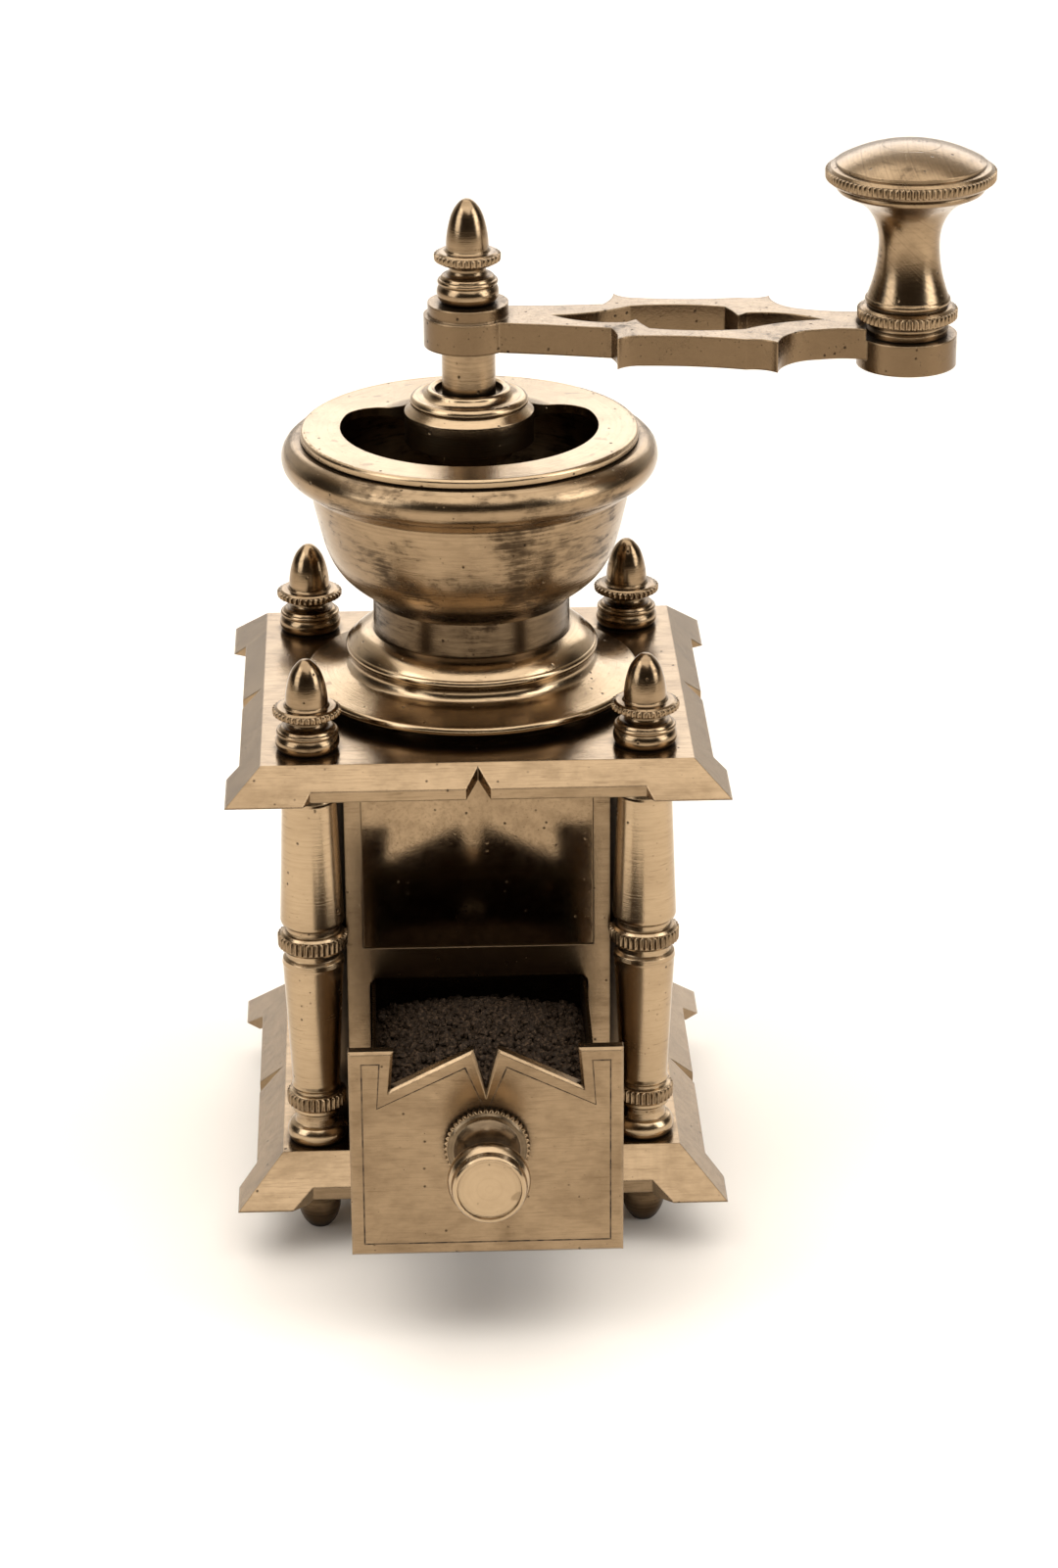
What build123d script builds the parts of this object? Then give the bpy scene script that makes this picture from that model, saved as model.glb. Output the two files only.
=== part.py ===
"""Box coffee mill in turned and sheet brass, with an open-work crank and a drawer.

The origin is on the spindle axis at the level of the table. The drawer front faces -Y.
"""

import os
from math import asin, cos, degrees, radians, sin

from build123d import *

os.makedirs("parts", exist_ok=True)

# ---------------------------------------------------------------- driving dimensions, mm
base_top = 24.0             # flat of the base plate above the table
top_plate_top = 127.0       # flat of the top plate above the table
plate_thickness = 2.8
tip_half = 59.5             # half width across the plate tips
base_flat_half = 48.4       # half width of the flat of the base plate
top_flat_half = 51.0
base_skirt_drop = 10.6
top_skirt_drop = 7.4

post_spacing = 80.0         # column centre to column centre
rod_radius = 2.5
rod_bore = 2.55

wall_face = 37.6            # outer face of the box walls from the axis
wall_thickness = 1.6
wall_half = 31.9            # half length of each wall, short of the columns
opening_half = 26.5
opening_height = 41.0
panel_half = 27.9
panel_bottom = 49.0         # above the base plate

drawer_out = 62.0           # how far the drawer stands open
tray_half = 26.0
tray_top = 64.0
sheet = 0.8
drawer_plate_thickness = 3.0
drawer_knob_height = 53.0

hub_top = 224.0
arm_top = 221.0
arm_thickness = 7.4
crank_radius = 103.8
crank_angle = -6.5          # degrees about the spindle
boss_top = 218.2
boss_radius = 11.8
knob_height = 46.0

spindle_radius = 6.4
running_gap = 0.05

plate_under = top_plate_top - plate_thickness
wall_inner = wall_face - wall_thickness
post = post_spacing / 2
corners = {
    "front_left": (-post, -post),
    "front_right": (post, -post),
    "rear_left": (-post, post),
    "rear_right": (post, post),
}


def keep(piece, name):
    """Label a finished piece and write its STEP file."""
    piece.label = name
    export_step(piece, "parts/" + name + ".step")


def turned(points):
    """A piece turned about Z from a half section of straight runs."""
    with BuildPart() as piece:
        with BuildSketch(Plane.XZ):
            with BuildLine():
                Polyline(*points, close=True)
            make_face()
        revolve(axis=Axis.Z)
    return piece.part


def four_turns(points):
    """Repeat one side's outline points about the axis, as far as the fourth side."""
    outline = []
    for turn in range(4):
        angle = radians(90 * turn)
        for x, y in points:
            outline.append((x * cos(angle) - y * sin(angle), x * sin(angle) + y * cos(angle)))
    return outline


# ---------------------------------------------------------------- plates
def skirted_plate(flat_top, flat_half, drop, tab_end, step_end, recess, throat):
    """A flat plate with four sloping skirts, tabbed at the corners and notched midway."""
    notch_half = 3.0
    outline = [
        (-tip_half, -tip_half),
        (-tab_end, -tip_half),
        (-step_end, -recess),
        (-notch_half, -recess),
        (0, -flat_half - 0.8),
        (notch_half, -recess),
        (step_end, -recess),
        (tab_end, -tip_half),
    ]
    skirt_wall = 3.4
    with BuildPart() as plate:
        with BuildSketch(Plane.XY.offset(flat_top - drop)):
            Rectangle(2 * tip_half, 2 * tip_half)
        with BuildSketch(Plane.XY.offset(flat_top)):
            Rectangle(2 * flat_half, 2 * flat_half)
        loft(ruled=True)
        with BuildSketch(Plane.XY.offset(flat_top - drop)):
            Rectangle(2 * (tip_half - skirt_wall), 2 * (tip_half - skirt_wall))
        with BuildSketch(Plane.XY.offset(flat_top - plate_thickness)):
            Rectangle(2 * (flat_half - 1.2), 2 * (flat_half - 1.2))
        loft(ruled=True, mode=Mode.SUBTRACT)
        with BuildSketch(Plane.XY.offset(flat_top - drop)):
            with BuildLine():
                Polyline(*four_turns(outline), close=True)
            make_face()
        extrude(amount=drop, mode=Mode.INTERSECT)
        with BuildSketch(Plane.XY.offset(flat_top)):
            with GridLocations(post_spacing, post_spacing, 2, 2):
                Circle(rod_bore)
            if throat:
                Circle(throat)
                with PolarLocations(clamp_circle, 4, start_angle=45):
                    Circle(clamp_radius)
        extrude(amount=-2 * plate_thickness, mode=Mode.SUBTRACT)
    return plate.part


throat_radius = 17.5
clamp_circle = 27.5         # circle of the four screws that clamp hopper, plate and burr ring
clamp_radius = 1.5

base_plate = skirted_plate(base_top, base_flat_half, base_skirt_drop, 46.3, 41.3, 55.2, 0)
keep(base_plate, "base_plate")
top_plate = skirted_plate(top_plate_top, top_flat_half, top_skirt_drop, 41.3, 39.4, 56.4, throat_radius)
keep(top_plate, "top_plate")


# ---------------------------------------------------------------- feet and tie rods
foot_top = base_top - plate_thickness
rod_bottom = 14.0
rod_top = top_plate_top + 11.0
with BuildPart() as foot:
    with BuildSketch(Plane.XZ):
        with BuildLine():
            flat = Line((0, 0), (2.6, 0))
            ball = ThreePointArc(flat @ 1, (5.2, 6.0), (3.9, 10.6))
            neck = ThreePointArc(ball @ 1, (3.7, 13.0), (5.0, 16.0))
            Polyline(neck @ 1, (6.4, 17.6), (6.4, foot_top), (rod_bore, foot_top),
                     (rod_bore, rod_bottom - 0.5), (0, rod_bottom - 0.5), (0, 0))
        make_face()
    revolve(axis=Axis.Z)

with BuildPart() as tie_rod:
    with BuildSketch(Plane.XY.offset(rod_bottom)):
        Circle(rod_radius)
    extrude(amount=rod_top - rod_bottom)
    chamfer(tie_rod.edges(), length=0.5)

keep(Compound([Pos(x, y, 0) * foot.part for x, y in corners.values()]), "bun_feet")
keep(Compound([Pos(x, y, 0) * tie_rod.part for x, y in corners.values()]), "tie_rods")


# ---------------------------------------------------------------- columns
column_length = plate_under - base_top
with BuildPart() as column:
    with BuildSketch(Plane.XZ):
        with BuildLine():
            foot_line = Line((rod_bore, 0), (6.5, 0))
            foot_torus = ThreePointArc(foot_line @ 1, (7.4, 2.2), (6.5, 4.4))
            lower = Polyline(
                foot_torus @ 1, (5.5, 4.9), (5.2, 6.4), (5.4, 7.7), (6.2, 8.3), (6.2, 9.1),
                (6.6, 9.6), (6.6, 13.0), (5.6, 13.4), (5.6, 14.0), (6.0, 14.6), (5.75, 15.6),
                (7.35, 46.9), (7.5, 47.5), (7.3, 48.7), (6.5, 49.3), (6.5, 50.9), (7.3, 51.1),
            )
            upper = Polyline(
                lower @ 1, (7.8, 51.7), (7.8, 55.1), (7.3, 55.7), (6.5, 55.9), (6.5, 57.3),
                (7.5, 58.1), (7.7, 58.9), (6.55, 89.8), (6.8, 90.6), (6.5, 91.7), (5.5, 92.2),
                (5.5, 93.6), (6.2, 94.0), (6.6, 94.4), (6.6, 97.4), (6.0, 98.0),
                (6.4, 98.6), (6.4, column_length), (rod_bore, column_length),
            )
            Line(upper @ 1, foot_line @ 0)
        make_face()
    revolve(axis=Axis.Z)

for place, (x, y) in corners.items():
    keep(Pos(x, y, base_top) * column.part, "column_" + place)


# ---------------------------------------------------------------- acorn finials
def acorn_nut(height, acorn_start, bulb, foot_radius, bore, bore_depth):
    """A turned nut: bulb, two beads, waist, edged flange and, from acorn_start up, an acorn."""
    flange = bulb - 0.1
    acorn = 5.1
    foot_part = acorn_start / 14
    with BuildPart() as nut:
        with BuildSketch(Plane.XZ):
            with BuildLine():
                seat = Line((bore, 0), (foot_radius, 0))
                swell = ThreePointArc(seat @ 1, (bulb, 3.0 * foot_part), (bulb - 0.7, 4.8 * foot_part))
                first_bead = ThreePointArc(
                    swell @ 1, (bulb - 0.2, 5.6 * foot_part), (bulb - 0.8, 6.3 * foot_part),
                )
                second_bead = ThreePointArc(
                    first_bead @ 1, (bulb - 1.1, 6.9 * foot_part), (bulb - 2.0, 7.4 * foot_part),
                )
                waist = ThreePointArc(second_bead @ 1, (4.4, 8.7 * foot_part), (5.2, 10.2 * foot_part))
                edge = Polyline(
                    waist @ 1, (flange - 0.5, 10.5 * foot_part), (flange, 10.9 * foot_part),
                    (flange, 13.0 * foot_part), (flange - 0.6, 13.4 * foot_part),
                    (acorn + 0.4, 13.5 * foot_part), (acorn, acorn_start),
                )
                shoulder = [
                    (acorn * cos(radians(turn)), acorn_start + (height - acorn_start) * sin(radians(turn)))
                    for turn in (18, 36, 54, 72)
                ]
                tip = Spline(edge @ 1, *shoulder, (0, height), tangents=[(0, 1), (-1, 0)])
                Polyline(tip @ 1, (0, bore_depth), (bore, bore_depth), (bore, 0))
            make_face()
        revolve(axis=Axis.Z)
    return nut.part


corner_nut = acorn_nut(22.4, 11.2, 7.6, 6.8, rod_bore, rod_top - top_plate_top + 0.5)
for place, (x, y) in corners.items():
    keep(Pos(x, y, top_plate_top) * corner_nut, "finial_" + place)


# ---------------------------------------------------------------- box walls
wall_height = plate_under - base_top
mid_wall = (wall_face + wall_inner) / 2

with BuildPart() as front_frame:
    with BuildSketch(Plane.XZ.offset(wall_inner)):
        with Locations((0, base_top + wall_height / 2)):
            Rectangle(2 * wall_half, wall_height)
        with Locations((0, base_top + opening_height / 2)):
            Rectangle(2 * opening_half, opening_height, mode=Mode.SUBTRACT)
        with Locations((0, (base_top + panel_bottom + plate_under) / 2)):
            Rectangle(2 * panel_half, wall_height - panel_bottom, mode=Mode.SUBTRACT)
    extrude(amount=wall_thickness)
    opening_corners = front_frame.edges().filter_by(Axis.Y).group_by(Axis.Z)[-3]
    fillet(opening_corners, radius=2.0)
keep(front_frame.part, "front_frame")

panel_gap = 0.05
with BuildPart() as front_panel:
    with BuildSketch(Plane.XZ.offset(wall_inner)):
        with Locations((0, (base_top + panel_bottom + plate_under) / 2)):
            Rectangle(2 * (panel_half - panel_gap), wall_height - panel_bottom - 2 * panel_gap)
    extrude(amount=wall_thickness - 0.5)
keep(front_panel.part, "front_panel")

with BuildPart() as rear_wall:
    with BuildSketch(Plane.XY.offset(base_top)):
        with Locations((0, mid_wall)):
            Rectangle(2 * wall_half, wall_thickness)
    extrude(amount=wall_height)
keep(rear_wall.part, "rear_wall")

for side, sign in (("left", -1), ("right", 1)):
    with BuildPart() as side_wall:
        with BuildSketch(Plane.XY.offset(base_top)):
            with Locations((sign * mid_wall, 0)):
                Rectangle(wall_thickness, 2 * wall_half)
        extrude(amount=wall_height)
    keep(side_wall.part, side + "_wall")

strip_thickness = 1.4
strip_inner = wall_inner - strip_thickness
leg_end = 27.0
with BuildPart() as corner_strip:
    with BuildSketch(Plane.XY.offset(base_top)):
        with BuildLine():
            Polyline(
                (wall_inner, leg_end), (wall_inner, wall_half), (wall_half, wall_inner),
                (leg_end, wall_inner), (leg_end, strip_inner), (wall_half - 0.6, strip_inner),
                (strip_inner, wall_half - 0.6), (strip_inner, leg_end), close=True,
            )
        make_face()
    extrude(amount=wall_height)
keep(Compound([Rot(0, 0, 90 * turn) * corner_strip.part for turn in range(4)]), "corner_strips")

runner_leg = 6.5
runner_sheet = 1.2
runner_length = 62.0
for side, sign in (("left", -1), ("right", 1)):
    with BuildPart() as runner:
        with BuildSketch(Plane.XZ.offset(-runner_length / 2)):
            with Locations((sign * (tray_half + 0.3 + runner_sheet / 2), base_top + 6.0)):
                Rectangle(runner_sheet, 12.0)
            with Locations((sign * (tray_half + 0.3 + runner_leg / 2), base_top + runner_sheet / 2)):
                Rectangle(runner_leg, runner_sheet)
        extrude(amount=runner_length)
    keep(runner.part, side + "_runner")


# ---------------------------------------------------------------- hopper
spigot_radius = 19.0
spigot_depth = 4.0
foot_seat = 142.6
with BuildPart() as hopper_foot:
    with BuildSketch(Plane.XZ):
        with BuildLine():
            sole = Polyline((throat_radius, top_plate_top), (36.0, top_plate_top), (36.0, 129.0), (39.6, 129.0))
            rim = ThreePointArc(sole @ 1, (40.8, 130.1), (39.8, 131.2))
            slope = ThreePointArc(rim @ 1, (36.0, 132.0), (31.2, 133.4))
            riser = ThreePointArc(slope @ 1, (29.7, 134.7), (29.8, 136.9))
            lip = ThreePointArc(riser @ 1, (30.7, 138.0), (30.0, 139.0))
            cushion = ThreePointArc(lip @ 1, (27.6, 141.3), (24.4, foot_seat))
            Polyline(
                cushion @ 1, (spigot_radius + running_gap, foot_seat),
                (spigot_radius + running_gap, foot_seat - spigot_depth - 0.1),
                (throat_radius, foot_seat - spigot_depth - 0.1), (throat_radius, top_plate_top),
            )
        make_face()
    revolve(axis=Axis.Z)
    with BuildSketch(Plane.XY.offset(top_plate_top)):
        with PolarLocations(clamp_circle, 4, start_angle=45):
            Circle(clamp_radius)
    extrude(amount=6.5, mode=Mode.SUBTRACT)
keep(hopper_foot.part, "hopper_foot")

rim_seat = 190.7
mouth_radius = 37.0
with BuildPart() as hopper_bowl:
    with BuildSketch(Plane.XZ):
        with BuildLine():
            spigot = Polyline(
                (16.5, foot_seat - spigot_depth), (spigot_radius, foot_seat - spigot_depth),
                (spigot_radius, foot_seat), (23.9, foot_seat), (23.9, 150.9),
            )
            belly = Spline(
                spigot @ 1, (26.6, 153.6), (31.6, 157.9), (35.0, 164.0), (36.9, 171.1), (38.6, 179.3),
                tangents=[(0.5, 1), (0.15, 1)],
            )
            lip_band = Polyline(belly @ 1, (40.2, 180.1), (41.4, 181.7))
            torus = ThreePointArc(lip_band @ 1, (45.1, 185.2), (41.8, rim_seat))
            seat = Line(torus @ 1, (mouth_radius, rim_seat))
            inside = Spline(
                seat @ 1, (36.4, 178.8), (34.6, 170.3), (31.4, 162.6), (24.0, 156.2), (16.5, 152.4),
                tangents=[(0, -1), (-1, -0.7)],
            )
            Line(inside @ 1, spigot @ 0)
        make_face()
    revolve(axis=Axis.Z)
keep(hopper_bowl.part, "hopper_bowl")

lid_top = 193.0
bush_radius = 8.2
mouth_spigot = mouth_radius - running_gap
filler_outer = 31.0
filler_inner = 15.5
filler_mid = (filler_outer + filler_inner) / 2
filler_half_span = 106      # degrees each side of the front
filler_path = CenterArc((0, 0), filler_mid, 270 - filler_half_span, 2 * filler_half_span)
with BuildPart() as hopper_lid:
    with BuildSketch(Plane.XZ):
        with BuildLine():
            edge = Polyline((mouth_spigot, rim_seat), (40.2, rim_seat), (40.6, rim_seat + 0.5), (40.6, 192.3))
            round_over = ThreePointArc(edge @ 1, (40.2, 192.9), (39.4, lid_top))
            flat = Line(round_over @ 1, (26.0, 193.5))
            flare = ThreePointArc(flat @ 1, (18.6, 195.2), (13.8, 198.8))
            bead = ThreePointArc(flare @ 1, (14.0, 200.4), (12.2, 201.0))
            collar = ThreePointArc(bead @ 1, (11.0, 201.4), (10.3, 202.1))
            crown = ThreePointArc(collar @ 1, (9.9, 202.7), (9.0, 202.9))
            Polyline(
                crown @ 1, (bush_radius, 202.6), (bush_radius, 189.0), (13.0, 189.0), (19.0, 191.2),
                (34.4, 191.2), (34.4, 188.1), (mouth_spigot, 188.1), (mouth_spigot, rim_seat),
            )
        make_face()
    revolve(axis=Axis.Z)
    with BuildSketch(Plane.XY.offset(186.4)):
        SlotArc(filler_path, filler_outer - filler_inner)
    extrude(amount=22.0, mode=Mode.SUBTRACT)
keep(hopper_lid.part, "hopper_lid")

spindle_bush = turned([
    (spindle_radius + running_gap, 186.4), (10.4, 186.4), (10.4, 189.0), (bush_radius, 189.0),
    (bush_radius, 201.2), (spindle_radius + running_gap, 201.2),
])
keep(spindle_bush, "spindle_bush")


# ---------------------------------------------------------------- burrs and their bridge
ring_flange = 31.0
ring_flange_thickness = 3.5
ring_body = 24.2
ring_bottom = 92.9
ring_flange_under = plate_under - ring_flange_thickness
ring_flutes = 16
ring_flute_reach = 1.6
uncut_edge = 4.0            # height below which the ring's flutes stop
bridge_screw_place = 20.9
bridge_screw_radius = 1.5
bridge_screw_grip = 7.0     # depth of the bridge screws in the ring
with BuildPart() as burr_ring:
    with BuildSketch(Plane.XZ):
        with BuildLine():
            Polyline(
                (throat_radius, plate_under), (ring_flange, plate_under), (ring_flange, ring_flange_under),
                (ring_body, ring_flange_under), (ring_body, ring_bottom), (16.6, ring_bottom), close=True,
            )
        make_face()
    revolve(axis=Axis.Z)
    with BuildSketch(Plane.XY.offset(ring_bottom + uncut_edge)):
        with PolarLocations(throat_radius, ring_flutes):
            RegularPolygon(radius=ring_flute_reach, side_count=4)
    extrude(amount=plate_under - ring_bottom, mode=Mode.SUBTRACT)
    with BuildSketch(Plane.XY.offset(plate_under)):
        with PolarLocations(clamp_circle, 4, start_angle=45):
            Circle(clamp_radius)
    extrude(amount=-ring_flange_thickness, mode=Mode.SUBTRACT)
    with BuildSketch(Plane.XY.offset(ring_bottom)):
        with GridLocations(2 * bridge_screw_place, 1, 2, 1):
            Circle(bridge_screw_radius)
    extrude(amount=bridge_screw_grip, mode=Mode.SUBTRACT)
keep(burr_ring.part, "burr_ring")


def slotted_screw(head_seat, head, shank, length):
    """A screw that points up, with a slotted cheese head below its seat."""
    head_height = 2.4
    slot_width = 0.8
    with BuildPart() as screw:
        with BuildSketch(Plane.XY.offset(head_seat)):
            Circle(head)
        extrude(amount=-head_height)
        with BuildSketch(Plane.XY.offset(head_seat)):
            Circle(shank)
        extrude(amount=length)
        with BuildSketch(Plane.XY.offset(head_seat - head_height)):
            Rectangle(3 * head, slot_width)
        extrude(amount=1.0, mode=Mode.SUBTRACT)
    return screw.part


clamp_grip = 6.0            # depth of the clamp screws in the hopper foot
clamp_screw = slotted_screw(ring_flange_under, 3.0, clamp_radius, top_plate_top + clamp_grip - ring_flange_under)
clamp_places = PolarLocations(clamp_circle, 4, start_angle=45)
keep(Compound([place * clamp_screw for place in clamp_places]), "clamp_screws")

bridge_bar_bottom = 80.9
bridge_bar_top = 85.9
bridge_depth = 16.0
upright_inner = 17.8
adjuster_radius = 6.0
with BuildPart() as bridge:
    with BuildSketch(Plane.XZ.offset(-bridge_depth / 2)):
        with BuildLine():
            Polyline(
                (-ring_body, bridge_bar_bottom), (ring_body, bridge_bar_bottom), (ring_body, ring_bottom),
                (upright_inner, ring_bottom), (upright_inner, bridge_bar_top),
                (-upright_inner, bridge_bar_top), (-upright_inner, ring_bottom),
                (-ring_body, ring_bottom), close=True,
            )
        make_face()
    extrude(amount=bridge_depth)
    with BuildSketch(Plane.XY.offset(bridge_bar_bottom)):
        Circle(adjuster_radius + running_gap)
        with Locations((-bridge_screw_place, 0), (bridge_screw_place, 0)):
            Circle(bridge_screw_radius)
    extrude(amount=ring_bottom - bridge_bar_bottom, mode=Mode.SUBTRACT)
keep(bridge.part, "bridge")

bridge_screw_length = ring_bottom + bridge_screw_grip - 0.5 - bridge_bar_bottom
bridge_screw = slotted_screw(bridge_bar_bottom, 2.9, bridge_screw_radius, bridge_screw_length)
bridge_screw_pair = [Pos(x, 0, 0) * bridge_screw for x in (-bridge_screw_place, bridge_screw_place)]
keep(Compound(bridge_screw_pair), "bridge_screws")

cup_radius = 5.0
adjusting_screw = turned([
    (0, 66.9), (7.6, 66.9), (8.0, 67.5), (8.0, 71.3), (7.6, 71.9), (adjuster_radius, 71.9),
    (adjuster_radius, 87.4), (cup_radius + running_gap, 87.4), (cup_radius + running_gap, 84.9),
    (0, 84.9),
])
keep(adjusting_screw, "adjusting_screw")

lock_nut_height = 5.4
lock_nut_reach = 10.0       # axis to a corner of the hexagon
with BuildPart() as lock_nut:
    with BuildSketch(Plane.XY.offset(bridge_bar_bottom - lock_nut_height)):
        RegularPolygon(radius=lock_nut_reach, side_count=6)
        Circle(adjuster_radius + running_gap, mode=Mode.SUBTRACT)
    extrude(amount=lock_nut_height)
keep(lock_nut.part, "lock_nut")

tip_radius = 3.45
thrust_cup = turned([
    (0, 85.0), (cup_radius, 85.0), (cup_radius, 90.4), (tip_radius + running_gap, 90.4),
    (tip_radius + running_gap, 87.4), (0, 87.4),
])
keep(thrust_cup, "thrust_cup")

cone_bore = 5.0
cone_top = 118.4
cone_bottom = 93.9
pin_height = 99.9
pin_radius = 1.5
cone_flutes = 12
with BuildPart() as burr_cone:
    with BuildSketch(Plane.XZ):
        with BuildLine():
            Polyline(
                (cone_bore, cone_bottom), (15.6, cone_bottom), (15.8, 95.9), (14.6, 101.9),
                (8.0, cone_top), (cone_bore, cone_top), close=True,
            )
        make_face()
    revolve(axis=Axis.Z)
    for flute in range(cone_flutes):
        turn = 360 * flute / cone_flutes
        flute_plane = Plane(
            origin=(10.2 * cos(radians(turn)), 10.2 * sin(radians(turn)), cone_top),
            z_dir=(0.36 * cos(radians(turn)), 0.36 * sin(radians(turn)), -1),
        )
        with BuildSketch(flute_plane):
            Circle(1.3)
        extrude(amount=15.0, both=True, mode=Mode.SUBTRACT)
    with BuildSketch(Plane.YZ):
        with Locations((0, pin_height)):
            Circle(pin_radius)
    extrude(amount=20, both=True, mode=Mode.SUBTRACT)
keep(burr_cone.part, "burr_cone")

with BuildPart() as cone_pin:
    with BuildSketch(Plane.YZ.offset(-12.5)):
        with Locations((0, pin_height)):
            Circle(pin_radius)
    extrude(amount=25.0)
keep(cone_pin.part, "cone_pin")


# ---------------------------------------------------------------- spindle and crank
arm_under = arm_top - arm_thickness
tenon_side = 8.4
stud_radius = 3.4
stud_top = hub_top + 10.0
with BuildPart() as spindle:
    with BuildSketch(Plane.XZ):
        with BuildLine():
            Polyline(
                (0, 87.5), (tip_radius - 0.6, 87.5), (tip_radius, 88.1), (tip_radius, 91.4),
                (cone_bore, 92.4), (cone_bore, cone_top), (spindle_radius, cone_top),
                (spindle_radius, arm_under), (0, arm_under), close=True,
            )
        make_face()
    revolve(axis=Axis.Z)
    with BuildSketch(Plane.XY.offset(arm_under)):
        Rectangle(tenon_side, tenon_side, rotation=crank_angle)
    extrude(amount=hub_top - arm_under)
    with BuildSketch(Plane.XY.offset(hub_top)):
        Circle(stud_radius)
    extrude(amount=stud_top - hub_top)
    with BuildSketch(Plane.YZ):
        with Locations((0, pin_height)):
            Circle(pin_radius)
    extrude(amount=10, both=True, mode=Mode.SUBTRACT)
keep(spindle.part, "spindle")

hub_radius = 10.6
collar_radius = 9.6
pin_shank = 3.5
arm_plane = Plane(
    origin=(0, 0, arm_under),
    x_dir=(cos(radians(crank_angle)), sin(radians(crank_angle)), 0),
    z_dir=(0, 0, 1),
)
boss_drop = arm_top - boss_top


def arm_side(sign, shift):
    """One outer edge of the arm, from the hub to the boss, in the arm's own plane."""
    near = Polyline((8.0, sign * 7.0), (20.0, sign * 7.9), (33.0 + shift, sign * 9.6))
    first_barb = ThreePointArc(near @ 1, (34.4 + shift, sign * 13.0), (35.0 + shift, sign * 18.4))
    sweep_in = ThreePointArc(first_barb @ 1, (37.4 + shift, sign * 16.0), (41.0 + shift, sign * 15.2))
    waist = ThreePointArc(sweep_in @ 1, (53.0, sign * 15.0), (65.0 + shift, sign * 16.8))
    second_barb = ThreePointArc(waist @ 1, (69.0 + shift, sign * 16.8), (72.4 + shift, sign * 18.8))
    sweep_out = ThreePointArc(second_barb @ 1, (74.6 + shift, sign * 12.4), (82.0 + shift, sign * 8.0))
    return [near, first_barb, sweep_in, waist, second_barb, sweep_out,
            ThreePointArc(sweep_out @ 1, (88.0, sign * 6.9), (94.5, sign * 7.4))]


with BuildPart() as crank_arm:
    with BuildSketch(arm_plane):
        with BuildLine():
            back = arm_side(1, -1.6)
            front = arm_side(-1, 1.6)
            Line(back[0] @ 0, front[0] @ 0)
            Line(back[-1] @ 1, front[-1] @ 1)
        make_face()
        Circle(hub_radius)
        with BuildLine():
            slot_top = ThreePointArc((20.0, 0), (30.0, 3.2), (38.0, 8.6))
            slot_crest = ThreePointArc(slot_top @ 1, (48.0, 10.2), (60.5, 9.2))
            top_barb = Polyline(slot_crest @ 1, (62.6, 5.6), (64.0, 2.2), (66.0, 4.6))
            slot_run = ThreePointArc(top_barb @ 1, (75.0, 4.6), (84.0, 0))
            slot_low = ThreePointArc(slot_run @ 1, (74.0, -3.2), (66.0, -8.6))
            slot_trough = ThreePointArc(slot_low @ 1, (56.0, -10.2), (43.5, -9.2))
            low_barb = Polyline(slot_trough @ 1, (41.4, -5.6), (40.0, -2.2), (38.0, -4.6))
            ThreePointArc(low_barb @ 1, (29.0, -4.6), slot_top @ 0)
        make_face(mode=Mode.SUBTRACT)
    extrude(amount=arm_thickness)
    with BuildSketch(arm_plane.offset(arm_thickness)):
        Circle(collar_radius)
    extrude(amount=hub_top - arm_top)
    with BuildSketch(arm_plane.offset(boss_top - arm_under)):
        with Locations((crank_radius, 0)):
            Circle(boss_radius + 0.2)
    extrude(amount=boss_drop + 1, mode=Mode.SUBTRACT)
    with BuildSketch(arm_plane.offset(-boss_drop)):
        with Locations((crank_radius, 0)):
            Circle(boss_radius)
    extrude(amount=arm_thickness)
    with BuildSketch(arm_plane.offset(-boss_drop)):
        Rectangle(tenon_side, tenon_side)
        with Locations((crank_radius, 0)):
            Circle(pin_shank)
    extrude(amount=30, mode=Mode.SUBTRACT)
keep(crank_arm.part, "crank_arm")

crank_nut = acorn_nut(25.1, 13.0, 7.4, 5.9, stud_radius, stud_top - hub_top + 0.4)
keep(Pos(0, 0, hub_top) * crank_nut, "crank_nut")


# ---------------------------------------------------------------- turning knob
knob_x = crank_radius * cos(radians(crank_angle))
knob_y = crank_radius * sin(radians(crank_angle))
head_radius = 6.8
head_thickness = 2.0
dome_rise = 4.6
dome_edge = 17.5
dome_radius = (dome_edge ** 2 + dome_rise ** 2) / (2 * dome_rise)
knob_foot = 0.3


def dome_height(radius):
    """Height of the domed cap above the boss at a radius from the knob's axis."""
    return knob_height - dome_radius + dome_radius * cos(asin(radius / dome_radius))


with BuildPart() as handle_knob:
    with BuildSketch(Plane.XZ):
        with BuildLine():
            heel = Polyline(
                (pin_shank + running_gap, knob_foot), (9.6, knob_foot), (9.8, 1.6), (9.2, 2.3), (9.2, 2.8),
                (10.6, 3.4), (11.2, 3.8), (11.2, 6.4), (10.5, 6.9), (9.4, 7.3),
            )
            bead = ThreePointArc(heel @ 1, (10.1, 8.2), (9.6, 9.2))
            neck = Spline(
                bead @ 1, (8.2, 13.7), (7.2, 20.4), (7.6, 25.7), (10.2, 30.6), (16.4, 34.5),
                tangents=[(-0.35, 1), (1, 0.55)],
            )
            brim_bead = ThreePointArc(neck @ 1, (17.4, 35.4), (17.0, 36.5))
            rim = Polyline(
                brim_bead @ 1, (18.9, 36.8), (19.3, 37.3), (19.3, 39.8), (18.7, 40.4), (17.5, 40.7),
                (dome_edge, knob_height - dome_rise),
            )
            cap = ThreePointArc(rim @ 1, (12.0, dome_height(12.0)), (head_radius + 0.05, dome_height(head_radius)))
            Polyline(
                cap @ 1, (head_radius + 0.05, knob_height - 2.6), (pin_shank + running_gap, knob_height - 2.6),
                (pin_shank + running_gap, knob_foot),
            )
        make_face()
    revolve(axis=Axis.Z)
knob_place = Pos(knob_x, knob_y, boss_top)
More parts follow.
